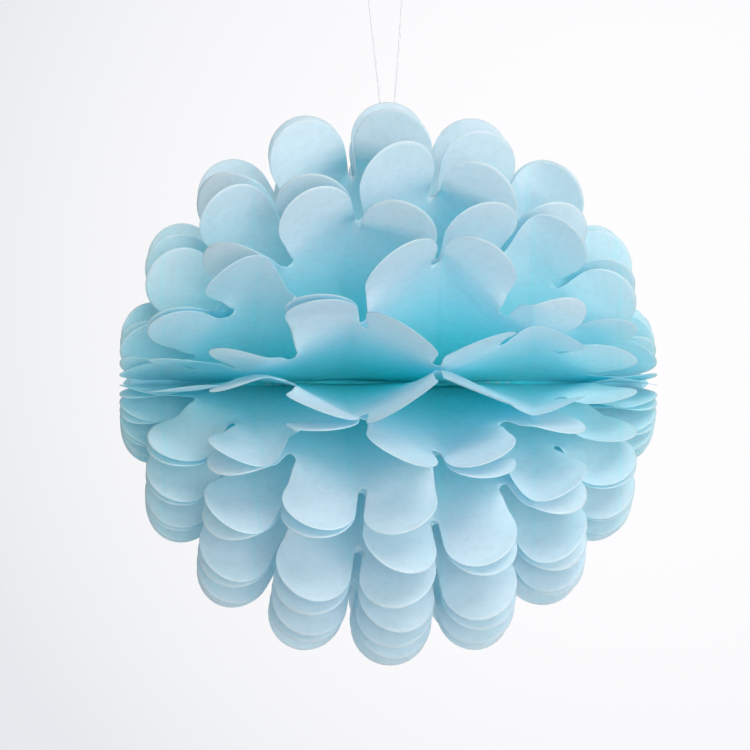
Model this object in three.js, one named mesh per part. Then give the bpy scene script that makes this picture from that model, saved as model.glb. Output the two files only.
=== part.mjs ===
// Honeycomb paper ball: half-disc leaves fanned round a level spine and glued to each other along
// lines square to it, so that open cells stand between them. The rim of each leaf is cut into round
// petals, and the ball hangs by a looped thread from the seam where its two end leaves meet.
// Millimetres, +Z up, X along the spine, the front of the ball towards -Y.
import * as THREE from "three";

// Leaf as cut, flat
const BALL_RADIUS = 125;
const PAPER_THICKNESS = 0.3;
const PETALS_PER_LEAF = 9;
const SLOT_WIDTH = 3.6;
const SLOT_DEPTH = 32;
const SPINE_EDGE = 4.5;

// Glue lines between leaves
const GLUE_PITCH = 41;
const GLUE_GAP = 0.25;
const GLUE_WIDTH = 2.4;

// Shape that the paper takes when the ball is opened
const DRAW_IN = 32;
const END_DRAW_IN = 5;
const FOLD_SOFTNESS = 0.4;
const PETAL_BEND_DEPTH = 13;
const PETAL_TIP_LENGTH = 15;
const PETAL_SIDE_RELEASE = 9.6;
const PETAL_CLEARANCE = 0.3;

// Spine binding
const BINDING_INSET = 7;
const BINDING_SIDES = 24;
const SEAT_GAP = 0.3;

// Hanging thread
const THREAD_DIAMETER = 0.8;
const THREAD_SIDES = 8;
const THREAD_STEPS = 78;

const PAPER_COLOUR = 0xa9d5e4;
const THREAD_COLOUR = 0xf4f4f1;

// One row per leaf, from the end leaf at the top of the front, down the front and up the back: the angle
// of the glue lines on its upper side over the front horizontal, the share of the leaf's slope that its
// petals keep, and how far their tips turn about the spine by themselves, in degrees.
const LEAVES = [
  [91, 0.6, 0],
  [83, 0.35, -4],
  [59, 0.8, -2],
  [46.3, 0.85, 0],
  [32.4, 0.6, 1.5],
  [14.4, 1, 1],
  [3.7, 0.9, -1.5],
  [-8.5, 0.8, -0.5],
  [-17.7, 0.5, -4.5],
  [-28, 0.6, -3],
  [-38, 0.45, -2],
  [-49, 0.5, -1],
  [-56.5, 0.5, -1],
  [-63.5, 0.5, 0],
  [-73, 0.5, 0],
  [-93, 0.5, 0],
  [-104, 0.5, 1],
  [-114, 0.45, 1],
  [-121, 0.5, 2],
  [-131, 0.6, 2.5],
  [-141, 0.5, 4],
  [-150, 0.7, 2],
  [-161, 0.8, 3],
  [-171, 0.9, 2],
  [-183, 1, -1],
  [-194, 0.7, -1.5],
  [-206, 0.8, 1],
  [-220, 0.8, 2],
  [-236, 0.5, 3],
  [-255, 0.6, 0],
];
const FULL_TURN = 360;
const LEAF_COUNT = LEAVES.length;

// Petals that stand apart from the run of their leaf: leaf, petal from the middle one, and the turn of
// its left and right side in degrees.
const BENT_PETALS = [
  [3, -1, -5, -5],
  [3, 1, -4, -5],
  [4, -3, -14, -14],
  [4, -2, -14, -14],
  [4, 0, -8, -2],
  [5, -2, 22, 6],
  [5, -1, -8.5, -7],
  [5, 2, 3, -8],
  [6, -1, 7, 5],
  [8, -3, -12, -11],
  [8, -2, -8, -7],
  [8, -1, 5, 3],
  [8, 3, -8, -9],
  [9, -3, -3, -3],
  [9, -2, 4, 4],
  [9, 1, 7, 9],
  [9, 3, -9, -9],
  [10, -3, -6.5, -6.5],
  [10, -1, 5, 4],
  [10, 3, -3.5, -3.5],
  [11, -3, -2, -2],
  [11, -2, 6, 6],
  [11, 1, 4, 4],
  [11, 3, -8, -8],
  [12, -3, -5, -5],
  [12, 3, -4, -4],
  [13, -3, -3, -3],
  [13, 3, -7, -7],
  [14, -3, -5, -5],
  [14, 3, -6, -6],
];

// How freely a petal leaves the run of its leaf, by its place from the middle: glue lines hold some.
const PETAL_FREEDOM = [1, 1, 0.45, 1, 0];

const { clamp, degToRad, lerp, smoothstep } = THREE.MathUtils;
const PETAL_ANGLE = Math.PI / PETALS_PER_LEAF;
const LAST_PETAL = (PETALS_PER_LEAF - 1) / 2;
const SLOT_END = BALL_RADIUS - SLOT_DEPTH;
const SLOT_HALF = SLOT_WIDTH / 2;
const GLUE_STEP = (PAPER_THICKNESS + GLUE_GAP) / 2;
const PETAL_REST_GAP = PAPER_THICKNESS + PETAL_CLEARANCE;
const BINDING_LENGTH = 2 * (BALL_RADIUS - BINDING_INSET);

// A petal's lobe touches the lines of the two slots beside it.
const HALF_SINE = Math.sin(PETAL_ANGLE / 2);
const LOBE_RADIUS = (BALL_RADIUS * HALF_SINE - SLOT_HALF) / (1 + HALF_SINE);
const LOBE_CENTRE = BALL_RADIUS - LOBE_RADIUS;
const LOBE_SWEEP = Math.PI / 2 + PETAL_ANGLE / 2;
const LOBE_STEPS = 5;

// Point of the flat leaf at a distance along and across a ray from the spine's middle.
function onRay(angle, along, across) {
  const u = along * Math.sin(angle) + across * Math.cos(angle);
  const v = along * Math.cos(angle) - across * Math.sin(angle);
  return new THREE.Vector2(u, v);
}

// Round edge of one petal, from its right side to its left; the end petals stop at the straight edge.
function lobe(petal) {
  const ray = petal * PETAL_ANGLE;
  const toEdge = Math.acos((SPINE_EDGE - LOBE_CENTRE * Math.cos(ray)) / LOBE_RADIUS) - Math.abs(ray);
  const first = petal === LAST_PETAL ? toEdge : LOBE_SWEEP;
  const last = petal === -LAST_PETAL ? -toEdge : -LOBE_SWEEP;
  const points = [];
  for (let i = 0; i <= LOBE_STEPS; i += 1) {
    const turn = lerp(first, last, i / LOBE_STEPS);
    points.push(onRay(ray, LOBE_CENTRE + LOBE_RADIUS * Math.cos(turn), LOBE_RADIUS * Math.sin(turn)));
  }
  return points;
}

// Inner end of the slot to the left of a petal.
function slotEnd(petal) {
  const ray = (petal - 0.5) * PETAL_ANGLE;
  return [
    onRay(ray, SLOT_END + SLOT_HALF, SLOT_HALF),
    onRay(ray, SLOT_END, 0),
    onRay(ray, SLOT_END + SLOT_HALF, -SLOT_HALF),
  ];
}

// Places of the glue lines along the spine, inside a limit.
function glueLines(limit) {
  const count = Math.floor(limit / GLUE_PITCH + 0.5);
  return Array.from({ length: 2 * count }, (_, i) => (i - count + 0.5) * GLUE_PITCH);
}

// Outline of the flat leaf, anticlockwise from the right end of its straight edge.
function leafOutline() {
  const rim = [];
  for (let petal = LAST_PETAL; petal >= -LAST_PETAL; petal -= 1) {
    rim.push(...lobe(petal));
    if (petal > -LAST_PETAL) {
      rim.push(...slotEnd(petal));
    }
  }
  const onEdge = glueLines(rim[0].x - GLUE_PITCH / 4).map((u) => new THREE.Vector2(u, SPINE_EDGE));
  return [...rim, ...onEdge];
}

// Points inside the leaf, on the glue lines and halfway between them: two over each other, one where the
// leaf is low, and none where it runs out.
const HIGH_LEAF_ROWS = [0.4, 0.82];
const LOW_LEAF_ROWS = [0.6];

function leafMiddle() {
  const step = GLUE_PITCH / 2;
  const count = Math.floor(SLOT_END / step);
  const points = [];
  for (let i = -count; i <= count; i += 1) {
    const u = i * step;
    const height = Math.sqrt(SLOT_END ** 2 - u ** 2) - SPINE_EDGE;
    const rows = height > GLUE_PITCH ? HIGH_LEAF_ROWS : LOW_LEAF_ROWS;
    if (height > step / 2) {
      points.push(...rows.map((share) => new THREE.Vector2(u, SPINE_EDGE + height * share)));
    }
  }
  return points;
}

// Whether a point lies inside the circle through three others, and not just on it.
const CIRCLE_TOLERANCE = 1e-4;

function circleHolds(a, b, c, point) {
  const [p, q, r] = [a, b, c].map((corner) => corner.clone().sub(point));
  const turn = p.lengthSq() * q.cross(r) + q.lengthSq() * r.cross(p) + r.lengthSq() * p.cross(q);
  return turn > CIRCLE_TOLERANCE;
}

// Triangles over a set of flat points, no point inside the circle of another triangle. It starts from
// one triangle far round them all.
function triangulate(points) {
  const far = 40 * BALL_RADIUS;
  const frame = [new THREE.Vector2(-far, -far), new THREE.Vector2(far, -far), new THREE.Vector2(0, far)];
  const all = [...points, ...frame];
  const count = points.length;
  let triangles = [[count, count + 1, count + 2]];
  points.forEach((point, index) => {
    const kept = [];
    const border = new Map();
    for (const triangle of triangles) {
      const [a, b, c] = triangle;
      if (!circleHolds(all[a], all[b], all[c], point)) {
        kept.push(triangle);
        continue;
      }
      for (const [from, to] of [[a, b], [b, c], [c, a]]) {
        if (!border.delete(`${to} ${from}`)) {
          border.set(`${from} ${to}`, [from, to, index]);
        }
      }
    }
    triangles = [...kept, ...border.values()];
  });
  return triangles.filter((triangle) => triangle.every((corner) => corner < count));
}

function insideOutline(outline, point) {
  let inside = false;
  outline.forEach((a, i) => {
    const b = outline[(i + 1) % outline.length];
    const spans = (a.y > point.y) !== (b.y > point.y);
    if (spans && point.x < a.x + ((b.x - a.x) * (point.y - a.y)) / (b.y - a.y)) {
      inside = !inside;
    }
  });
  return inside;
}

// Flat pattern that every leaf shares.
function leafPattern() {
  const outline = leafOutline();
  const points = [...outline, ...leafMiddle()];
  const triangles = triangulate(points).filter(([a, b, c]) => {
    const centre = points[a].clone().add(points[b]).add(points[c]).divideScalar(3);
    return insideOutline(outline, centre);
  });
  return { outline, points, triangles };
}

// Angle of the glue lines above a leaf; the row after the last closes the ring at the first leaf.
function glueAngle(leaf) {
  return leaf < LEAF_COUNT ? degToRad(LEAVES[leaf][0]) : degToRad(LEAVES[0][0] - FULL_TURN);
}

// Angle of a leaf about the spine where it is held only by glue. Its lines are glued in turn to the leaf
// above and to the leaf below, and it slopes from each line to the next.
function heldAngle(leaf, u, v) {
  const place = u / GLUE_PITCH - 0.5;
  const line = Math.floor(place);
  const margin = GLUE_WIDTH / 2 / GLUE_PITCH;
  const part = clamp((place - line - margin) / (1 - 2 * margin), 0, 1);
  const slope = lerp(part, smoothstep(part, 0, 1), FOLD_SOFTNESS);
  const step = GLUE_STEP / v;
  const atLine = (n) => ((leaf + n) % 2 === 0 ? glueAngle(leaf) - step : glueAngle(leaf + 1) + step);
  return lerp(atLine(line), atLine(line + 1), slope);
}

// Angles of one side of a petal on all leaves, spread where two would pass through each other: such
// petals rest against each other at the least gap, about their common middle.
function restApart(angles, leastGap) {
  const groups = [];
  angles.forEach((angle, leaf) => {
    groups.push({ sum: angle + leaf * leastGap, count: 1 });
    while (groups.length > 1) {
      const [above, below] = groups.slice(-2);
      if (above.sum / above.count >= below.sum / below.count) {
        break;
      }
      groups.splice(-2, 2, { sum: above.sum + below.sum, count: above.count + below.count });
    }
  });
  const rested = groups.flatMap((group) => Array(group.count).fill(group.sum / group.count));
  return rested.map((angle, leaf) => angle - leaf * leastGap);
}

// Angles of the left and right side of a free petal, for every leaf.
function petalSides(petal) {
  const ray = petal * PETAL_ANGLE;
  const sides = LEAVES.map(([, keep, turn], leaf) => {
    const [left, right] = [-0.5, 0.5].map((side) => {
      const base = onRay(ray + side * PETAL_ANGLE, SLOT_END, 0);
      return heldAngle(leaf, base.x, Math.max(base.y, SPINE_EDGE));
    });
    const bent = BENT_PETALS.find((row) => row[0] === leaf + 1 && row[1] === petal) ?? [0, 0, 0, 0];
    const middle = (left + right) / 2 + degToRad(turn);
    const half = ((right - left) / 2) * keep;
    return [middle - half + degToRad(bent[2]), middle + half + degToRad(bent[3])];
  });
  const outer = Math.abs(ray) + PETAL_ANGLE / 2;
  const leastGap = PETAL_REST_GAP / Math.max(SLOT_END * Math.cos(outer), SPINE_EDGE);
  return [0, 1].map((side) => restApart(sides.map((pair) => pair[side]), leastGap));
}

const PETAL_SIDES = new Map();
for (let petal = -LAST_PETAL; petal <= LAST_PETAL; petal += 1) {
  PETAL_SIDES.set(petal, petalSides(petal));
}

// Angle of a leaf about the spine: held by glue inside the slots, and leaving that run over each petal.
function leafAngle(leaf, u, v) {
  const radius = Math.hypot(u, v);
  const ray = Math.atan2(u, v);
  const petal = clamp(Math.round(ray / PETAL_ANGLE + LAST_PETAL), 0, PETALS_PER_LEAF - 1) - LAST_PETAL;
  const across = (ray - petal * PETAL_ANGLE) / (PETAL_ANGLE / 2);
  const [left, right] = PETAL_SIDES.get(petal).map((side) => side[leaf]);
  const free = lerp(left, right, (across + 1) / 2);
  const rise = smoothstep(radius, SLOT_END - PETAL_BEND_DEPTH, BALL_RADIUS - PETAL_TIP_LENGTH);
  const open = smoothstep(radius, SLOT_END, SLOT_END + PETAL_SIDE_RELEASE);
  const away = rise * (1 - across ** 2 * (1 - open)) * (PETAL_FREEDOM[Math.abs(petal)] ?? 0);
  return lerp(heldAngle(leaf, u, v), free, away);
}

// Place of a flat point of a leaf on the open ball. Sloping leaves draw in along the spine, most of all
// far in front of it and behind it.
function leafPoint(leaf, u, v) {
  const angle = leafAngle(leaf, u, v);
  const forward = v * Math.cos(angle);
  const drawn = DRAW_IN * (forward / BALL_RADIUS) ** 2 + END_DRAW_IN * (u / BALL_RADIUS) ** 2;
  return new THREE.Vector3(u * (1 - drawn / BALL_RADIUS), -forward, v * Math.sin(angle));
}

// Upward normal of the open leaf, from points a paper's thickness away on its flat pattern.
function leafNormal(leaf, u, v) {
  const reach = PAPER_THICKNESS;
  const alongU = leafPoint(leaf, u + reach, v).sub(leafPoint(leaf, u - reach, v));
  const alongV = leafPoint(leaf, u, v + reach).sub(leafPoint(leaf, u, v - reach));
  return alongU.cross(alongV).normalize();
}

// Closed solid of one leaf: two faces of paper and the cut edge between them.
function leafGeometry(pattern, leaf) {
  const { outline, points, triangles } = pattern;
  const corners = [1, -1].flatMap((side) => points.map(({ x, y }) => {
    const normal = leafNormal(leaf, x, y);
    return leafPoint(leaf, x, y).addScaledVector(normal, (side * PAPER_THICKNESS) / 2);
  }));
  const count = points.length;
  const faces = triangles.flatMap(([a, b, c]) => [a, b, c, c + count, b + count, a + count]);
  outline.forEach((point, i) => {
    const j = (i + 1) % outline.length;
    faces.push(i, i + count, j + count, i, j + count, j);
  });
  const geometry = new THREE.BufferGeometry().setFromPoints(corners);
  geometry.setIndex(faces);
  geometry.computeVertexNormals();
  return geometry;
}

// Round binding that holds the straight edges of the leaves along the spine.
function bindingGeometry() {
  const radius = SPINE_EDGE - SEAT_GAP;
  return new THREE.CylinderGeometry(radius, radius, BINDING_LENGTH, BINDING_SIDES).rotateZ(Math.PI / 2);
}

// Route of the thread: up from the spine between the two end leaves, round the loop, and back down.
const THREAD_ROUTE = [
  [-1.2, 0.38, 8.5],
  [-1.6, 0.4, 40],
  [-2.5, 0.2, 85],
  [-3.6, 0, 125],
  [-6, 0, 148],
  [-8.5, 0, 171.5],
  [-8.6, 0, 175.5],
  [-7, 0, 179.5],
  [-4.4, 0, 182],
  [-1.1, 0, 182.9],
  [2.2, 0, 182],
  [4.8, 0, 179.5],
  [6.4, 0, 175.5],
  [6.3, 0, 171.5],
  [4.7, 0, 148],
  [3.1, 0, 125],
  [2.3, 0.2, 85],
  [1.6, 0.4, 40],
  [1.2, 0.38, 8.5],
];

// Curve whose steps follow its route points, so that the loop at the top gets as many as a long strand.
class RouteCurve extends THREE.CatmullRomCurve3 {
  getUtoTmapping(u) {
    return u;
  }
}

function threadGeometry() {
  const route = THREAD_ROUTE.map((point) => new THREE.Vector3(...point));
  const section = [];
  for (let i = 0; i < THREAD_SIDES; i += 1) {
    const turn = (2 * Math.PI * i) / THREAD_SIDES;
    section.push(new THREE.Vector2(Math.cos(turn), Math.sin(turn)).multiplyScalar(THREAD_DIAMETER / 2));
  }
  return new THREE.ExtrudeGeometry(new THREE.Shape(section), {
    extrudePath: new RouteCurve(route, false, "centripetal"),
    steps: THREAD_STEPS,
    bevelEnabled: false,
  });
}

const paper = new THREE.MeshStandardMaterial({ color: PAPER_COLOUR, roughness: 0.9, metalness: 0 });
const cotton = new THREE.MeshStandardMaterial({ color: THREAD_COLOUR, roughness: 0.8, metalness: 0 });

const ball = new THREE.Group();

function addPiece(name, geometry, material) {
  const mesh = new THREE.Mesh(geometry, material);
  mesh.name = name;
  ball.add(mesh);
}

const pattern = leafPattern();
LEAVES.forEach((row, leaf) => {
  addPiece(`paper_leaf_${String(leaf + 1).padStart(2, "0")}`, leafGeometry(pattern, leaf), paper);
});
addPiece("spine_binding", bindingGeometry(), paper);
addPiece("hanging_thread", threadGeometry(), cotton);

export default ball;
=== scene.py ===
import math
import bpy
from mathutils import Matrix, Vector


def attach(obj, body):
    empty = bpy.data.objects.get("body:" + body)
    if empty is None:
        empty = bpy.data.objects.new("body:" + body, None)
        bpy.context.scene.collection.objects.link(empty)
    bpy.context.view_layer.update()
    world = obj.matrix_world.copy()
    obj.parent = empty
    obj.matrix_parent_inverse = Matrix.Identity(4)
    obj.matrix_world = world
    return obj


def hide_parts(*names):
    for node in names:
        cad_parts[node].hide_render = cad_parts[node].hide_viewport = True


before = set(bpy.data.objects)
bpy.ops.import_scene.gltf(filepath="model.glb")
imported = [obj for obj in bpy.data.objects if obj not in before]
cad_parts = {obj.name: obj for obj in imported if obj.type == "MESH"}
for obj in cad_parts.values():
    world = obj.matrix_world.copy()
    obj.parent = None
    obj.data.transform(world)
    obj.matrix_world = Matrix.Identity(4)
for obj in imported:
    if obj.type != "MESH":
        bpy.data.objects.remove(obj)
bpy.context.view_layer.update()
scene = bpy.context.scene


# Camera
# It stands level with the spine, six ball radii from it and three degrees to the left of the ball's front.
# The middle of the ball is a little to the right of and below the middle of the square picture.
BALL_RADIUS = 0.125
PICTURE_PIXELS = 750
BALL_RADIUS_PIXELS = 279
BALL_MIDDLE_PIXEL = (388, 383)
CAMERA_DISTANCE = 0.75
CAMERA_TURN = math.radians(-3)
SENSOR_WIDTH = 36.0

camera_data = bpy.data.cameras.new("camera")
camera_data.sensor_width = SENSOR_WIDTH
camera_data.lens = SENSOR_WIDTH * BALL_RADIUS_PIXELS * CAMERA_DISTANCE / BALL_RADIUS / PICTURE_PIXELS
camera_data.shift_x = 0.5 - BALL_MIDDLE_PIXEL[0] / PICTURE_PIXELS
camera_data.shift_y = BALL_MIDDLE_PIXEL[1] / PICTURE_PIXELS - 0.5
camera = bpy.data.objects.new("camera", camera_data)
camera.location = (math.sin(CAMERA_TURN) * CAMERA_DISTANCE, -math.cos(CAMERA_TURN) * CAMERA_DISTANCE, 0.0)
camera.rotation_euler = (math.pi / 2, 0.0, CAMERA_TURN)
scene.collection.objects.link(camera)
scene.camera = camera


# Paper leaves
# Half discs of one coloured paper, cut with nine round petals along the rim. Each is glued along lines square
# to the spine, in turn to the leaf above and to the leaf below, and opens into a zig-zag with the ball.
SOLID_THICKNESS = 0.0003
PAPER_THICKNESS = 0.00012
PETALS_PER_LEAF = 9
SLOT_WIDTH = 0.0036
SLOT_DEPTH = 0.032
SPINE_EDGE = 0.0045
GLUE_PITCH = 0.041
GLUE_GAP = 0.00004
GLUE_WIDTH = 0.0024
DRAW_IN = 0.032
END_DRAW_IN = 0.005
FOLD_SOFTNESS = 0.4
PETAL_BEND_DEPTH = 0.013
PETAL_TIP_LENGTH = 0.015
PETAL_SIDE_RELEASE = 0.0096
PETAL_CLEARANCE = 0.0003
INNER_RING = 0.07
PETAL_COLUMNS = 21
INNER_ROWS = 12
RING_ROWS = 8
PETAL_ROWS = 18
WELD_DISTANCE = 1e-6

# Angle of the glue lines above each leaf, share of the leaf's slope that its petals keep, turn of their tips
LEAVES = [
    (91, 0.6, 0), (83, 0.35, -4), (59, 0.8, -2), (46.3, 0.85, 0), (32.4, 0.6, 1.5),
    (14.4, 1, 1), (3.7, 0.9, -1.5), (-8.5, 0.8, -0.5), (-17.7, 0.5, -4.5), (-28, 0.6, -3),
    (-38, 0.45, -2), (-49, 0.5, -1), (-56.5, 0.5, -1), (-63.5, 0.5, 0), (-73, 0.5, 0),
    (-93, 0.5, 0), (-104, 0.5, 1), (-114, 0.45, 1), (-121, 0.5, 2), (-131, 0.6, 2.5),
    (-141, 0.5, 4), (-150, 0.7, 2), (-161, 0.8, 3), (-171, 0.9, 2), (-183, 1, -1),
    (-194, 0.7, -1.5), (-206, 0.8, 1), (-220, 0.8, 2), (-236, 0.5, 3), (-255, 0.6, 0),
]
CLOSING_ANGLE = LEAVES[0][0] - 360

# Petals that stand apart from the run of their leaf: turn of the left and of the right side
BENT_PETALS = {
    (3, -1): (-5, -5), (3, 1): (-4, -5), (4, -3): (-14, -14), (4, -2): (-14, -14), (4, 0): (-8, -2),
    (5, -2): (22, 6), (5, -1): (-8.5, -7), (5, 2): (3, -8), (6, -1): (7, 5), (8, -3): (-12, -11),
    (8, -2): (-8, -7), (8, -1): (5, 3), (8, 3): (-8, -9), (9, -3): (-3, -3), (9, -2): (4, 4),
    (9, 1): (7, 9), (9, 3): (-9, -9), (10, -3): (-6.5, -6.5), (10, -1): (5, 4), (10, 3): (-3.5, -3.5),
    (11, -3): (-2, -2), (11, -2): (6, 6), (11, 1): (4, 4), (11, 3): (-8, -8), (12, -3): (-5, -5),
    (12, 3): (-4, -4), (13, -3): (-3, -3), (13, 3): (-7, -7), (14, -3): (-5, -5), (14, 3): (-6, -6),
}

# How freely a petal leaves the run of its leaf, from the middle one outwards
PETAL_FREEDOM = (1, 1, 0.45, 1, 0)

PETAL_ANGLE = math.pi / PETALS_PER_LEAF
LAST_PETAL = (PETALS_PER_LEAF - 1) // 2
SLOT_END = BALL_RADIUS - SLOT_DEPTH
GLUE_STEP = (PAPER_THICKNESS + GLUE_GAP) / 2
HALF_SINE = math.sin(PETAL_ANGLE / 2)
LOBE_RADIUS = (BALL_RADIUS * HALF_SINE - SLOT_WIDTH / 2) / (1 + HALF_SINE)


class Flow:
    """A socket on its way through a node tree. Python's operators on it add the Math nodes."""

    def __init__(self, tree, socket):
        self.tree = tree
        self.socket = socket

    def output(self, name):
        return Flow(self.tree, self.socket.node.outputs[name])

    def math(self, operation, *others):
        sockets = dict(enumerate((self, *others)))
        return self.tree.add("ShaderNodeMath", {"operation": operation}, sockets)

    def __add__(self, other):
        return self.math("ADD", other)

    def __sub__(self, other):
        return self.math("SUBTRACT", other)

    def __mul__(self, other):
        return self.math("MULTIPLY", other)

    def __truediv__(self, other):
        return self.math("DIVIDE", other)

    def __rsub__(self, other):
        return self * -1 + other

    __radd__ = __add__
    __rmul__ = __mul__

    def mixed(self, other, share):
        return self + (other - self) * share

    def smooth(self, low, high):
        limits = {"Value": self, "From Min": low, "From Max": high}
        return self.tree.add("ShaderNodeMapRange", {"interpolation_type": "SMOOTHSTEP"}, limits)

    def share_of(self, low, high):
        return self.tree.add("ShaderNodeMapRange", {}, {"Value": self, "From Min": low, "From Max": high})


class Tree:
    """A node tree, with one way of adding a node to it: its type, its settings, and values or links."""

    def __init__(self, tree):
        self.tree = tree
        tree.nodes.clear()

    def add(self, kind, settings=None, sockets=None, output=0):
        node = self.tree.nodes.new(kind)
        for name, value in (settings or {}).items():
            setattr(node, name, value)
        for key, value in (sockets or {}).items():
            for link in value if isinstance(value, list) else [value]:
                if isinstance(link, Flow):
                    self.tree.links.new(link.socket, node.inputs[key])
                else:
                    node.inputs[key].default_value = link
        return Flow(self, node.outputs[output]) if node.outputs else None


class Growth(Tree):
    """Geometry nodes that grow a piece from a start geometry, with named sizes and a material as inputs."""

    def __init__(self, name, sizes):
        super().__init__(bpy.data.node_groups.new(name, "GeometryNodeTree"))
        sockets = self.tree.interface
        sockets.new_socket("Start", in_out="INPUT", socket_type="NodeSocketGeometry")
        for size_name in sizes:
            sockets.new_socket(size_name, in_out="INPUT", socket_type="NodeSocketFloat")
        sockets.new_socket("Material", in_out="INPUT", socket_type="NodeSocketMaterial")
        sockets.new_socket("Piece", in_out="OUTPUT", socket_type="NodeSocketGeometry")
        self.given = self.add("NodeGroupInput")
        self.size = {size_name: self.given.output(size_name) for size_name in sizes}

    def end(self, geometry):
        piece = self.add("GeometryNodeRealizeInstances", {}, {"Geometry": geometry})
        piece = self.add("GeometryNodeSetMaterial", {}, {
            "Geometry": piece, "Material": self.given.output("Material"),
        })
        self.add("NodeGroupOutput", {}, {"Piece": piece})
        return self.tree


def grown_by(group, start, name, values):
    """A plain mesh object at the origin that geometry nodes grow from a start, with their inputs set by name."""
    grown = bpy.data.objects.new(name + "_start", start)
    scene.collection.objects.link(grown)
    modifier = grown.modifiers.new("growth", "NODES")
    modifier.node_group = group
    for socket in group.interface.items_tree:
        if socket.in_out == "INPUT" and socket.name in values:
            modifier[socket.identifier] = values[socket.name]
    evaluated = grown.evaluated_get(bpy.context.evaluated_depsgraph_get())
    piece = bpy.data.objects.new(name, bpy.data.meshes.new_from_object(evaluated))
    scene.collection.objects.link(piece)
    bpy.data.objects.remove(grown)
    return piece


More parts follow.
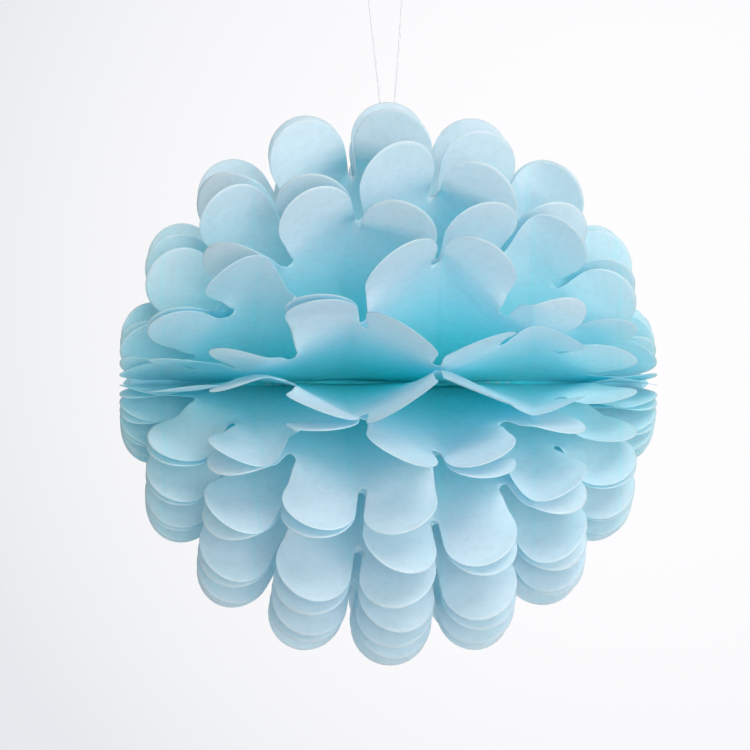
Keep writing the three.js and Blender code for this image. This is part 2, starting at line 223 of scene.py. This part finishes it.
def leaf_growth(sizes):
    """Geometry nodes of one leaf: the flat pattern petal by petal, bent by the glue lines and given thickness."""
    tree = Growth("paper_leaf", sizes)
    size = tree.size

    # One patch of paper for each petal, reaching from the straight edge to the tip
    rows = INNER_ROWS + RING_ROWS + PETAL_ROWS
    patch = tree.add("GeometryNodeMeshGrid", {}, {
        "Size X": 2.0, "Size Y": rows, "Vertices X": PETAL_COLUMNS, "Vertices Y": rows + 1,
    })
    patches = tree.add("GeometryNodeInstanceOnPoints", {}, {"Points": tree.given.output("Start"), "Instance": patch})
    sheet = tree.add("GeometryNodeRealizeInstances", {}, {"Geometry": patches})
    place = tree.add("GeometryNodeInputPosition")
    apart = tree.add("ShaderNodeSeparateXYZ", {}, {"Vector": place})
    side = apart.output("X")
    row = apart.output("Y") + rows / 2
    petal, left, right, freedom = (
        tree.add("GeometryNodeInputNamedAttribute", {"data_type": "FLOAT"}, {"Name": name})
        for name in ("petal", "left", "right", "freedom")
    )

    # Flat outline of a petal beside its ray: an arc round the spine, two slot sides and a round lobe
    half_angle = size["Petal angle"] / 2
    slot_half = size["Slot width"] / 2
    slot_end = size["Ball radius"] - size["Slot depth"]
    lobe_centre = size["Ball radius"] - size["Lobe radius"]
    inner = row.share_of(0, INNER_ROWS)
    ring = row.share_of(INNER_ROWS, INNER_ROWS + RING_ROWS)
    outward = row.share_of(INNER_ROWS + RING_ROWS, rows)
    arc = size["Inner ring"].mixed(slot_end, ring)
    turn = side * half_angle
    lobe_turn = side * (half_angle + math.pi / 2)
    along = (arc * turn.math("COSINE")).mixed(lobe_centre + size["Lobe radius"] * lobe_turn.math("COSINE"), outward)
    across = (arc * turn.math("SINE")).mixed(size["Lobe radius"] * lobe_turn.math("SINE"), outward)
    slot_run = outward * (lobe_centre * half_angle.math("COSINE") - slot_end)
    rounding = (slot_half - slot_run).math("MAXIMUM", 0.0)
    slot_side = (slot_half * slot_half - rounding * rounding).math("SQRT") - slot_half * outward
    along = along + slot_side * side * side * half_angle.math("SINE")
    across = across - slot_side * side * side.math("ABSOLUTE") * half_angle.math("COSINE")

    # The same on the whole leaf, with the end petals drawn up to the straight edge
    radius = (along * along + across * across).math("SQRT")
    ray = petal * size["Petal angle"] + across.math("ARCTAN2", along)
    end_ray = math.pi / 2 - size["Petal angle"]
    edge_ray = (size["Spine edge"] / radius).math("ARCCOSINE")
    beyond = (ray.math("ABSOLUTE") - end_ray).math("MAXIMUM", 0.0)
    drawn_up = beyond * (1 - (edge_ray - end_ray) / size["Petal angle"])
    ray = ray - drawn_up * ray.math("SIGN")
    edge_half = (size["Inner ring"] * size["Inner ring"] - size["Spine edge"] * size["Spine edge"]).math("SQRT")
    edge_place = (petal + side / 2) * size["Petal angle"] * edge_half / (math.pi / 2)
    u = edge_place.mixed(radius * ray.math("SINE"), inner)
    v = size["Spine edge"].mixed(radius * ray.math("COSINE"), inner)

    # Angle about the spine where the paper is held by glue
    line_place = u / size["Glue pitch"] - 0.5
    line = line_place.math("FLOOR")
    margin = size["Glue width"] / size["Glue pitch"] / 2
    part = (line_place - line).share_of(margin, 1 - margin)
    slope = part.mixed(part.smooth(0, 1), size["Fold softness"])
    odd = (size["Leaf number"] + line).math("FLOORED_MODULO", 2.0)
    above_share = (1 - slope).mixed(slope, odd)
    step = size["Glue step"] / v
    held = (size["Glue below"] + step).mixed(size["Glue above"] - step, above_share)

    # Petals leave that run towards their tips
    from_centre = (u * u + v * v).math("SQRT")
    petal_side = (u.math("ARCTAN2", v) - petal * size["Petal angle"]) / half_angle
    free = left.mixed(right, petal_side / 2 + 0.5)
    rise = from_centre.smooth(slot_end - size["Petal bend depth"], size["Ball radius"] - size["Petal tip length"])
    released = from_centre.smooth(slot_end, slot_end + size["Petal side release"])
    away = rise * (1 - petal_side * petal_side * (1 - released)) * freedom
    angle = held.mixed(free, away)

    # Open ball: sloping leaves draw in along the spine
    forward = v * angle.math("COSINE")
    front_share = forward / size["Ball radius"]
    end_share = u / size["Ball radius"]
    drawn = size["Draw in"] * front_share * front_share + size["End draw in"] * end_share * end_share
    opened = tree.add("ShaderNodeCombineXYZ", {}, {
        "X": u * (1 - drawn / size["Ball radius"]), "Y": forward * -1, "Z": v * angle.math("SINE"),
    })
    flat = tree.add("ShaderNodeCombineXYZ", {}, {"X": u, "Y": v, "Z": size["Leaf number"]})
    sheet = tree.add("GeometryNodeStoreNamedAttribute", {"data_type": "FLOAT_VECTOR"}, {
        "Geometry": sheet, "Name": "flat_leaf", "Value": flat,
    })
    sheet = tree.add("GeometryNodeSetPosition", {}, {"Geometry": sheet, "Position": opened})
    sheet = tree.add("GeometryNodeMergeByDistance", {}, {"Geometry": sheet, "Distance": WELD_DISTANCE})
    sheet = tree.add("GeometryNodeSetShadeSmooth", {}, {"Geometry": sheet})

    # Two faces of paper with the cut edge between them
    normal = tree.add("GeometryNodeInputNormal")
    to_underside = tree.add("ShaderNodeVectorMath", {"operation": "SCALE"}, {
        "Vector": normal, "Scale": size["Paper thickness"] * -0.5,
    })
    under = tree.add("GeometryNodeSetPosition", {}, {"Geometry": sheet, "Offset": to_underside})
    upper = tree.add("GeometryNodeExtrudeMesh", {}, {
        "Mesh": under, "Offset Scale": size["Paper thickness"], "Individual": False,
    })
    cut_edge = upper.output("Side")
    upper = tree.add("GeometryNodeStoreNamedAttribute", {"data_type": "FLOAT", "domain": "FACE"}, {
        "Geometry": upper, "Name": "cut_edge", "Value": cut_edge,
    })
    upper = tree.add("GeometryNodeSetShadeSmooth", {}, {
        "Geometry": upper, "Selection": cut_edge, "Shade Smooth": False,
    })
    under = tree.add("GeometryNodeFlipFaces", {}, {"Mesh": under})
    both = tree.add("GeometryNodeJoinGeometry", {}, {"Geometry": [upper, under]})
    leaf = tree.add("GeometryNodeMergeByDistance", {}, {"Geometry": both, "Distance": WELD_DISTANCE})
    return tree.end(leaf)


def glue_angle(leaf):
    return math.radians(LEAVES[leaf][0] if leaf < len(LEAVES) else CLOSING_ANGLE)


def held_angle(leaf, u, v):
    """Angle of a leaf about the spine where only glue holds it, as in the leaf's nodes."""
    place = u / GLUE_PITCH - 0.5
    line = math.floor(place)
    margin = GLUE_WIDTH / GLUE_PITCH / 2
    part = min(max((place - line - margin) / (1 - 2 * margin), 0.0), 1.0)
    slope = part + (part * part * (3 - 2 * part) - part) * FOLD_SOFTNESS
    above_share = slope if (leaf + line) % 2 else 1 - slope
    step = GLUE_STEP / v
    below = glue_angle(leaf + 1) + step
    return below + (glue_angle(leaf) - step - below) * above_share


def rest_apart(angles, least_gap):
    """Angles down the ball of one side of a petal, spread where two would pass: such petals rest on each other."""
    groups = []
    for leaf, angle in enumerate(angles):
        groups.append([angle + leaf * least_gap, 1])
        while len(groups) > 1 and groups[-2][0] / groups[-2][1] < groups[-1][0] / groups[-1][1]:
            total, count = groups.pop()
            groups[-1][0] += total
            groups[-1][1] += count
    rested = [total / count for total, count in groups for _ in range(count)]
    return [angle - leaf * least_gap for leaf, angle in enumerate(rested)]


def petal_sides(petal):
    """Angles of the left and right side of a free petal on every leaf."""
    ray = petal * PETAL_ANGLE
    sides = ([], [])
    for leaf, (_, keep, tip_turn) in enumerate(LEAVES):
        ends = []
        for end_ray in (ray - PETAL_ANGLE / 2, ray + PETAL_ANGLE / 2):
            ends.append(held_angle(leaf, SLOT_END * math.sin(end_ray), max(SLOT_END * math.cos(end_ray), SPINE_EDGE)))
        middle = sum(ends) / 2 + math.radians(tip_turn)
        half = (ends[1] - ends[0]) / 2 * keep
        bent = BENT_PETALS.get((leaf + 1, petal), (0, 0))
        sides[0].append(middle - half + math.radians(bent[0]))
        sides[1].append(middle + half + math.radians(bent[1]))
    reach = max(SLOT_END * math.cos(abs(ray) + PETAL_ANGLE / 2), SPINE_EDGE)
    least_gap = (SOLID_THICKNESS + PETAL_CLEARANCE) / reach
    return [rest_apart(side, least_gap) for side in sides]


# Colours of the paper: a deep, saturated blue near the spine that is painted shade for the cells deep inside the
# ball, paler towards the rim of the petals where light reaches them, darker in its mottles
PAINTED_SHADE_BLUE = (0.35, 0.995, 1.0)
PALE_PETAL_BLUE = (0.89, 0.92, 0.98)
MOTTLE_DARKENING = 0.05
FIBRE_DARKENING = 0.06
SHADED_CUT_EDGE_BLUE = (0.45, 0.68, 0.78)
LIGHT_THROUGH_PAPER = (0.1, 0.98, 1.0)
THROUGH_SHARE = 0.22
FULL_PAINTED_SHADE_DEPTH = 0.0
PAINTED_SHADE_END_DEPTH = 0.112
SPREAD_ALONG_SPINE = 0.6
GLUE_LINE_COLOUR = 0.1
CLOUD_COLOUR = 0.3
CLOUD_SCALE = 55.0
MOTTLE_SCALE = 280.0
FIBRE_SCALE = 900.0
DARK_GRAIN = (0.4, 0.75)
COCKLE_HEIGHT = 0.0016
MOTTLE_HEIGHT = 0.00006
FIBRE_HEIGHT = 0.00004
GLUE_HEIGHT = 0.00006
RELIEF_STRENGTH = 0.6


def paper_material():
    """Uncoated paper dyed right through: fine fibres, soft clouds of colour, painted shade deep inside the ball, and
    light that comes through it.
    """
    material = bpy.data.materials.new("blue_paper")
    material.use_nodes = True
    tree = Tree(material.node_tree)
    flat = tree.add("ShaderNodeAttribute", {"attribute_name": "flat_leaf"}, output="Vector")
    cut_edge = tree.add("ShaderNodeAttribute", {"attribute_name": "cut_edge"}, output="Fac")
    apart = tree.add("ShaderNodeSeparateXYZ", {}, {"Vector": flat})
    u, v = apart.output("X"), apart.output("Y")
    clouds = tree.add("ShaderNodeTexNoise", {}, {"Vector": flat, "Scale": CLOUD_SCALE, "Detail": 3.0})
    mottle = tree.add("ShaderNodeTexNoise", {}, {"Vector": flat, "Scale": MOTTLE_SCALE, "Detail": 3.0})
    fibres = tree.add("ShaderNodeTexNoise", {}, {
        "Vector": flat, "Scale": FIBRE_SCALE, "Detail": 5.0, "Roughness": 0.65,
    })
    # Painted shade: the colour turns deeper and more saturated towards the spine, where the cells of the ball lie in
    # shade; soft clouds of colour and the glue lines then shift it.
    aside = u * SPREAD_ALONG_SPINE
    shade_cloud_glue_share = (aside * aside + v * v).math("SQRT").smooth(FULL_PAINTED_SHADE_DEPTH, PAINTED_SHADE_END_DEPTH)
    shade_cloud_glue_share = shade_cloud_glue_share + (clouds - 0.5) * CLOUD_COLOUR
    from_line = ((u / GLUE_PITCH).math("FRACT") - 0.5).math("ABSOLUTE") * GLUE_PITCH
    glued = from_line.smooth(GLUE_WIDTH * 0.6, GLUE_WIDTH * 0.4)
    shade_cloud_glue_share = shade_cloud_glue_share - glued * GLUE_LINE_COLOUR
    colour = tree.add("ShaderNodeMix", {"data_type": "RGBA"}, {
        "Factor": shade_cloud_glue_share, "A": (*PAINTED_SHADE_BLUE, 1.0), "B": (*PALE_PETAL_BLUE, 1.0),
    }, output="Result")
    darkening = mottle.smooth(*DARK_GRAIN) * MOTTLE_DARKENING + fibres.smooth(*DARK_GRAIN) * FIBRE_DARKENING
    colour = tree.add("ShaderNodeMix", {"data_type": "RGBA", "blend_type": "MULTIPLY"}, {
        "Factor": darkening, "A": colour, "B": (0.0, 0.0, 0.0, 1.0),
    }, output="Result")
    # Painted shade on the cut edges: a darker blue, so that edges facing the lamps don't show as bright lines.
    colour = tree.add("ShaderNodeMix", {"data_type": "RGBA"}, {
        "Factor": cut_edge, "A": colour, "B": (*SHADED_CUT_EDGE_BLUE, 1.0),
    }, output="Result")
    relief = clouds * COCKLE_HEIGHT + mottle * MOTTLE_HEIGHT + fibres * FIBRE_HEIGHT + glued * GLUE_HEIGHT
    bump = tree.add("ShaderNodeBump", {}, {"Strength": RELIEF_STRENGTH, "Distance": 1.0, "Height": relief})
    surface = tree.add("ShaderNodeBsdfPrincipled", {}, {
        "Base Color": colour, "Roughness": fibres * 0.2 + 0.6, "Specular IOR Level": 0.4, "Normal": bump,
    })
    through = tree.add("ShaderNodeBsdfTranslucent", {}, {"Color": (*LIGHT_THROUGH_PAPER, 1.0)})
    paper = tree.add("ShaderNodeMixShader", {}, {0: THROUGH_SHARE, 1: surface, 2: through})
    tree.add("ShaderNodeOutputMaterial", {}, {"Surface": paper})
    return material


leaf_sizes = {
    "Ball radius": BALL_RADIUS,
    "Petal angle": PETAL_ANGLE,
    "Lobe radius": LOBE_RADIUS,
    "Slot width": SLOT_WIDTH,
    "Slot depth": SLOT_DEPTH,
    "Spine edge": SPINE_EDGE,
    "Inner ring": INNER_RING,
    "Glue pitch": GLUE_PITCH,
    "Glue width": GLUE_WIDTH,
    "Glue step": GLUE_STEP,
    "Fold softness": FOLD_SOFTNESS,
    "Draw in": DRAW_IN,
    "End draw in": END_DRAW_IN,
    "Petal bend depth": PETAL_BEND_DEPTH,
    "Petal tip length": PETAL_TIP_LENGTH,
    "Petal side release": PETAL_SIDE_RELEASE,
    "Paper thickness": PAPER_THICKNESS,
    "Leaf number": 0.0,
    "Glue above": 0.0,
    "Glue below": 0.0,
}
bent_leaf = leaf_growth(leaf_sizes)
blue_paper = paper_material()
petals = range(-LAST_PETAL, LAST_PETAL + 1)
sides_of = {petal: petal_sides(petal) for petal in petals}

for leaf in range(len(LEAVES)):
    node = f"paper_leaf_{leaf + 1:02d}"
    starts = bpy.data.meshes.new(node + "_petals")
    starts.from_pydata([(0.0, 0.0, 0.0)] * PETALS_PER_LEAF, [], [])
    for name, values in (
        ("petal", [float(petal) for petal in petals]),
        ("left", [sides_of[petal][0][leaf] for petal in petals]),
        ("right", [sides_of[petal][1][leaf] for petal in petals]),
        ("freedom", [float(PETAL_FREEDOM[abs(petal)]) for petal in petals]),
    ):
        starts.attributes.new(name, "FLOAT", "POINT").data.foreach_set("value", values)
    piece = grown_by(bent_leaf, starts, node + "_paper", leaf_sizes | {
        "Leaf number": float(leaf), "Glue above": glue_angle(leaf), "Glue below": glue_angle(leaf + 1),
        "Material": blue_paper,
    })
    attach(piece, "root")
    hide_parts(node)


# Spine binding
# The straight edges of all leaves, folded over and pressed into one round core along the spine. White sewing
# thread goes through the folds at two places, and its stitches show between the leaves.
BINDING_RADIUS = 0.0042
BINDING_HALF_LENGTH = 0.118
BINDING_STEPS = 60
PLEAT_DEPTH = 0.00035
PLEATS = 60
STEPS_PER_PLEAT = 6
PLEAT_SWAY = 0.004
PLEAT_SWAY_TURN = 7.0
CLOSED_END = 0.999
PAINTED_PLEAT_SHADE = (0.1, 0.86, 0.92)
FOLD_RIDGE = (0.25, 0.98, 1.0)
FOLD_END = (0.45, 0.76, 0.86)
FOLD_FADES_FROM = 0.06
STITCH_LENGTH = 0.0032
STITCH_PITCH = 0.0043
STITCH_DIAMETER = 0.0004
STITCH_ROWS = (-0.049, 0.049)
STITCHES_IN_ROW = 3
STITCH_STEPS = 8
COTTON_SHADE = (0.9, 0.9, 0.9)
COTTON_WHITE = (1.0, 1.0, 1.0)
FLUFF_SCALE = 2500.0


def binding_growth(sizes):
    """Geometry nodes of the core: a sheet rolled round the spine in pleats and closed at its two ends."""
    tree = Growth("spine_binding", sizes)
    size = tree.size
    sheet = tree.add("GeometryNodeMeshGrid", {}, {
        "Size X": 2.0, "Size Y": 1.0, "Vertices X": BINDING_STEPS + 1, "Vertices Y": STEPS_PER_PLEAT * PLEATS + 1,
    })
    apart = tree.add("ShaderNodeSeparateXYZ", {}, {"Vector": tree.add("GeometryNodeInputPosition")})
    along, round_share = apart.output("X"), apart.output("Y")
    sway = (along * PLEAT_SWAY_TURN).math("SINE") * PLEAT_SWAY
    turn = round_share * (2 * math.pi)
    pleat = ((round_share + sway) * size["Pleats"] * math.pi).math("SINE").math("ABSOLUTE")
    closed = along.math("ABSOLUTE").math("LESS_THAN", CLOSED_END)
    radius = (size["Radius"] - size["Pleat depth"] * (1 - pleat)) * closed
    rolled = tree.add("ShaderNodeCombineXYZ", {}, {
        "X": along * size["Half length"], "Y": radius * turn.math("COSINE"), "Z": radius * turn.math("SINE"),
    })
    sheet = tree.add("GeometryNodeStoreNamedAttribute", {"data_type": "FLOAT"}, {
        "Geometry": sheet, "Name": "pleat", "Value": pleat,
    })
    sheet = tree.add("GeometryNodeSetPosition", {}, {"Geometry": sheet, "Position": rolled})
    core = tree.add("GeometryNodeMergeByDistance", {}, {"Geometry": sheet, "Distance": WELD_DISTANCE})
    return tree.end(core)


def stitch_growth(sizes):
    """Geometry nodes of the sewing: one short round stitch at every point, lying along the spine."""
    tree = Growth("stitches", sizes)
    size = tree.size
    ball = tree.add("GeometryNodeMeshUVSphere", {}, {
        "Segments": STITCH_STEPS, "Rings": STITCH_STEPS, "Radius": 1.0,
    })
    ball = tree.add("GeometryNodeSetShadeSmooth", {}, {"Geometry": ball})
    shape = tree.add("ShaderNodeCombineXYZ", {}, {
        "X": size["Length"] / 2, "Y": size["Diameter"] / 2, "Z": size["Diameter"] / 2,
    })
    sewn = tree.add("GeometryNodeInstanceOnPoints", {}, {
        "Points": tree.given.output("Start"), "Instance": ball, "Scale": shape,
    })
    return tree.end(sewn)


folded_edges = bpy.data.materials.new("folded_edges")
folded_edges.use_nodes = True
folds = Tree(folded_edges.node_tree)
pleat = folds.add("ShaderNodeAttribute", {"attribute_name": "pleat"}, output="Fac")
place = folds.add("ShaderNodeTexCoord", output="Object")
fibres = folds.add("ShaderNodeTexNoise", {}, {
    "Vector": place, "Scale": FIBRE_SCALE, "Detail": 5.0, "Roughness": 0.65,
})
# Painted shade in the pleat valleys and the lighter blue on the ridges, with the fibres varying it at random.
fold_colour = folds.add("ShaderNodeMix", {"data_type": "RGBA"}, {
    "Factor": pleat * 0.7 + fibres * 0.3, "A": (*PAINTED_PLEAT_SHADE, 1.0), "B": (*FOLD_RIDGE, 1.0),
}, output="Result")
from_middle = folds.add("ShaderNodeSeparateXYZ", {}, {"Vector": place}).output("X").math("ABSOLUTE")
fold_colour = folds.add("ShaderNodeMix", {"data_type": "RGBA"}, {
    "Factor": from_middle.smooth(FOLD_FADES_FROM, BINDING_HALF_LENGTH), "A": fold_colour, "B": (*FOLD_END, 1.0),
}, output="Result")
fold_bump = folds.add("ShaderNodeBump", {}, {"Strength": 0.6, "Distance": 0.00005, "Height": fibres})
fold_surface = folds.add("ShaderNodeBsdfPrincipled", {}, {
    "Base Color": fold_colour, "Roughness": 0.8, "Specular IOR Level": 0.3, "Normal": fold_bump,
})
folds.add("ShaderNodeOutputMaterial", {}, {"Surface": fold_surface})

cotton = bpy.data.materials.new("white_cotton")
cotton.use_nodes = True
twist = Tree(cotton.node_tree)
place = twist.add("ShaderNodeTexCoord", output="Object")
fluff = twist.add("ShaderNodeTexNoise", {}, {
    "Vector": place, "Scale": FLUFF_SCALE, "Detail": 4.0, "Roughness": 0.7,
})
cotton_colour = twist.add("ShaderNodeMix", {"data_type": "RGBA"}, {
    "Factor": fluff, "A": (*COTTON_SHADE, 1.0), "B": (*COTTON_WHITE, 1.0),
}, output="Result")
cotton_bump = twist.add("ShaderNodeBump", {}, {"Strength": 0.4, "Distance": 0.00004, "Height": fluff})
cotton_surface = twist.add("ShaderNodeBsdfPrincipled", {}, {
    "Base Color": cotton_colour, "Roughness": 0.85, "Specular IOR Level": 0.3, "Normal": cotton_bump,
})
twist.add("ShaderNodeOutputMaterial", {}, {"Surface": cotton_surface})

binding_sizes = {
    "Radius": BINDING_RADIUS, "Half length": BINDING_HALF_LENGTH, "Pleat depth": PLEAT_DEPTH, "Pleats": float(PLEATS),
}
binding = grown_by(
    binding_growth(binding_sizes), bpy.data.meshes.new("spine_binding_start"), "spine_binding_folds",
    binding_sizes | {"Material": folded_edges},
)
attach(binding, "root")
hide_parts("spine_binding")

sewn_places = []
for row_middle in STITCH_ROWS:
    for stitch in range(STITCHES_IN_ROW):
        x = row_middle + (stitch - (STITCHES_IN_ROW - 1) / 2) * STITCH_PITCH
        for leaf in range(len(LEAVES)):
            edge_above = held_angle(leaf, x, SPINE_EDGE)
            edge_below = held_angle((leaf + 1) % len(LEAVES), x, SPINE_EDGE)
            if edge_below > edge_above:
                edge_below -= 2 * math.pi
            between = (edge_above + edge_below) / 2
            sewn_places.append((x, -BINDING_RADIUS * math.cos(between), BINDING_RADIUS * math.sin(between)))
sewing = bpy.data.meshes.new("stitches_start")
sewing.from_pydata(sewn_places, [], [])
stitch_sizes = {"Length": STITCH_LENGTH, "Diameter": STITCH_DIAMETER}
stitches = grown_by(stitch_growth(stitch_sizes), sewing, "spine_stitches", stitch_sizes | {"Material": cotton})
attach(stitches, "root")


# Hanging thread
# One white cotton thread of three plies, tied in at the spine. It comes up between the two end leaves as two
# strands and makes a loop over the ball, which a hook or a line holds.
THREAD_DIAMETER = 0.0008
THREAD_PLIES = 3
THREAD_TWIST = 0.0026
THREAD_STEP = 0.0004
STEPS_PER_PLY = 8
PLY_HOLLOW = 0.24
STEPS_PER_SPAN = 40
THREAD_ROUTE = [
    (-0.0012, 0.00038, 0.0085), (-0.0016, 0.0004, 0.04), (-0.0025, 0.0002, 0.085), (-0.0036, 0.0, 0.125),
    (-0.006, 0.0, 0.148), (-0.0085, 0.0, 0.1715), (-0.0086, 0.0, 0.1755), (-0.007, 0.0, 0.1795),
    (-0.0044, 0.0, 0.182), (-0.0011, 0.0, 0.1829), (0.0022, 0.0, 0.182), (0.0048, 0.0, 0.1795),
    (0.0064, 0.0, 0.1755), (0.0063, 0.0, 0.1715), (0.0047, 0.0, 0.148), (0.0031, 0.0, 0.125),
    (0.0023, 0.0002, 0.085), (0.0016, 0.0004, 0.04), (0.0012, 0.00038, 0.0085),
]


def smooth_route(route, steps):
    """Points of one smooth curve through a route, its pace in step with the square root of the spans."""
    places = [Vector(place) for place in route]
    places = [2 * places[0] - places[1], *places, 2 * places[-1] - places[-2]]
    points = []
    for a, b, c, d in zip(places, places[1:], places[2:], places[3:]):
        t1 = (b - a).length ** 0.5
        t2 = t1 + (c - b).length ** 0.5
        t3 = t2 + (d - c).length ** 0.5
        for step in range(steps):
            t = t1 + (t2 - t1) * step / steps
            ab, bc, cd = a.lerp(b, t / t1), b.lerp(c, (t - t1) / (t2 - t1)), c.lerp(d, (t - t2) / (t3 - t2))
            points.append(ab.lerp(bc, t / t2).lerp(bc.lerp(cd, (t - t1) / (t3 - t1)), (t - t1) / (t2 - t1)))
    return [*points, places[-2]]


def thread_growth(sizes):
    """Geometry nodes of the thread: a section of three plies, carried along the route and turned as it goes."""
    tree = Growth("hanging_thread", sizes)
    size = tree.size
    route = tree.add("GeometryNodeResampleCurve", {"mode": "LENGTH"}, {
        "Curve": tree.given.output("Start"), "Length": size["Step"],
    })
    gone = tree.add("GeometryNodeSplineParameter", output="Length")
    route = tree.add("GeometryNodeSetCurveTilt", {}, {"Curve": route, "Tilt": gone / size["Twist"] * (2 * math.pi)})
    section = tree.add("GeometryNodeCurvePrimitiveCircle", {}, {
        "Resolution": STEPS_PER_PLY * THREAD_PLIES, "Radius": 1.0,
    })
    corner = tree.add("ShaderNodeSeparateXYZ", {}, {"Vector": tree.add("GeometryNodeInputPosition")})
    turn = corner.output("Y").math("ARCTAN2", corner.output("X"))
    bulge = (turn * (THREAD_PLIES / 2)).math("SINE").math("ABSOLUTE") * PLY_HOLLOW + (1 - PLY_HOLLOW)
    lobed = tree.add("ShaderNodeVectorMath", {"operation": "SCALE"}, {
        "Vector": tree.add("GeometryNodeInputPosition"), "Scale": bulge * size["Diameter"] / 2,
    })
    section = tree.add("GeometryNodeSetPosition", {}, {"Geometry": section, "Position": lobed})
    plies = tree.add("GeometryNodeCurveToMesh", {}, {"Curve": route, "Profile Curve": section, "Fill Caps": True})
    return tree.end(plies)


thread_path = smooth_route(THREAD_ROUTE, STEPS_PER_SPAN)
line = bpy.data.curves.new("hanging_thread_route", "CURVE")
line.dimensions = "3D"
spline = line.splines.new("POLY")
spline.points.add(len(thread_path) - 1)
for point, place in zip(spline.points, thread_path):
    point.co = (*place, 1.0)
thread_sizes = {"Diameter": THREAD_DIAMETER, "Twist": THREAD_TWIST, "Step": THREAD_STEP}
thread = grown_by(thread_growth(thread_sizes), line, "hanging_thread_cotton", thread_sizes | {"Material": cotton})
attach(thread, "root")
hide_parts("hanging_thread")


# Floor, light and backdrop
# A pale floor well under the hanging ball that fades out at its rim, a soft surround that is stronger below and
# behind, two large soft lamps in front on the right, one level with the ball and one high, and a white backdrop with
# painted shade that turns greyer away from its brightest direction.
FLOOR_LEVEL = -0.45
FLOOR_RADIUS = 0.8
FLOOR_CORNERS = 96
FLOOR_FADES = (0.55, 0.98)
FLOOR_WHITE_SHARE = 0.62
FLOOR_PAINT = (0.9, 0.9, 0.92)
FLOOR_WHITE = (0.97, 0.97, 1.0)
SURROUND_LIGHT = 0.28
LIGHT_FROM_BELOW = 0.55
LIGHT_FROM_FRONT = 0.18
LIGHT_FROM_BEHIND = 0.65
LEVEL_LAMP = ((0.4, -1.3, 0.0), 5.7)
HIGH_LAMP = ((0.35, -1.0, 0.85), 7.2)
LAMP_SIZE = 0.8
BRIGHTEST_BACKDROP = (0.2, 0.97, 0.05)
BACKDROP_REACH = 0.42
BACKDROP_WHITE = (0.99, 0.985, 1.0)
PAINTED_SHADE_BACKDROP_GREY = (0.8, 0.815, 0.85)

scene.view_settings.view_transform = "Standard"
scene.cycles.max_bounces = 32
scene.cycles.diffuse_bounces = 24
scene.cycles.transmission_bounces = 24

world = bpy.data.worlds.new("studio")
scene.world = world
world.use_nodes = True
sky = Tree(world.node_tree)
direction = sky.add("ShaderNodeTexCoord", output="Generated")
apart = sky.add("ShaderNodeSeparateXYZ", {}, {"Vector": direction})
below = (apart.output("Z") * -1).math("MAXIMUM", 0.0)
in_front = (apart.output("Y") * -1).math("MAXIMUM", 0.0)
behind = apart.output("Y").math("MAXIMUM", 0.0)
strength = below * LIGHT_FROM_BELOW + in_front * LIGHT_FROM_FRONT + behind * LIGHT_FROM_BEHIND + SURROUND_LIGHT
lit = sky.add("ShaderNodeBackground", {}, {"Color": (1.0, 1.0, 1.0, 1.0), "Strength": strength})
off_bright = sky.add("ShaderNodeVectorMath", {"operation": "DISTANCE"}, {
    0: direction, 1: BRIGHTEST_BACKDROP,
}, output="Value")
# Painted shade on the backdrop: white towards the brightest direction, grey further from it.
dimming = (off_bright / BACKDROP_REACH).math("POWER", 3.0).share_of(0.0, 1.0)
backdrop = sky.add("ShaderNodeMix", {"data_type": "RGBA"}, {
    "Factor": dimming, "A": (*BACKDROP_WHITE, 1.0), "B": (*PAINTED_SHADE_BACKDROP_GREY, 1.0),
}, output="Result")
shown = sky.add("ShaderNodeBackground", {}, {"Color": backdrop, "Strength": 1.0})
rays = sky.add("ShaderNodeLightPath")
seen = rays.output("Is Camera Ray").math("MAXIMUM", rays.output("Is Glossy Ray"))
both = sky.add("ShaderNodeMixShader", {}, {0: seen, 1: lit, 2: shown})
sky.add("ShaderNodeOutputWorld", {}, {"Surface": both})

for lamp_place, power in (LEVEL_LAMP, HIGH_LAMP):
    lamp_data = bpy.data.lights.new("softbox", "AREA")
    lamp_data.shape = "DISK"
    lamp_data.size = LAMP_SIZE
    lamp_data.energy = power
    lamp = bpy.data.objects.new("softbox", lamp_data)
    lamp.location = lamp_place
    lamp.rotation_euler = (-Vector(lamp_place)).to_track_quat("-Z", "Y").to_euler()
    scene.collection.objects.link(lamp)

pale_floor = bpy.data.materials.new("pale_floor")
pale_floor.use_nodes = True
ground = Tree(pale_floor.node_tree)
place = ground.add("ShaderNodeTexCoord", output="Object")
apart = ground.add("ShaderNodeSeparateXYZ", {}, {"Vector": place})
x, y = apart.output("X"), apart.output("Y")
fade = (x * x + y * y).math("SQRT").smooth(*(FLOOR_RADIUS * share for share in FLOOR_FADES))
matte = ground.add("ShaderNodeBsdfDiffuse", {}, {"Color": (*FLOOR_PAINT, 1.0)})
white = ground.add("ShaderNodeEmission", {}, {"Color": (*FLOOR_WHITE, 1.0), "Strength": 1.0})
clear = ground.add("ShaderNodeBsdfTransparent")
seen = ground.add("ShaderNodeLightPath", output="Is Camera Ray")
floor_surface = ground.add("ShaderNodeMixShader", {}, {0: seen * FLOOR_WHITE_SHARE, 1: matte, 2: white})
floor_surface = ground.add("ShaderNodeMixShader", {}, {0: fade, 1: floor_surface, 2: clear})
ground.add("ShaderNodeOutputMaterial", {}, {"Surface": floor_surface})
floor_mesh = bpy.data.meshes.new("floor")
rim = []
for corner in range(FLOOR_CORNERS):
    turn = 2 * math.pi * corner / FLOOR_CORNERS
    rim.append((FLOOR_RADIUS * math.cos(turn), FLOOR_RADIUS * math.sin(turn), FLOOR_LEVEL))
floor_mesh.from_pydata(rim, [], [range(FLOOR_CORNERS)])
floor_mesh.materials.append(pale_floor)
floor = bpy.data.objects.new("floor", floor_mesh)
scene.collection.objects.link(floor)
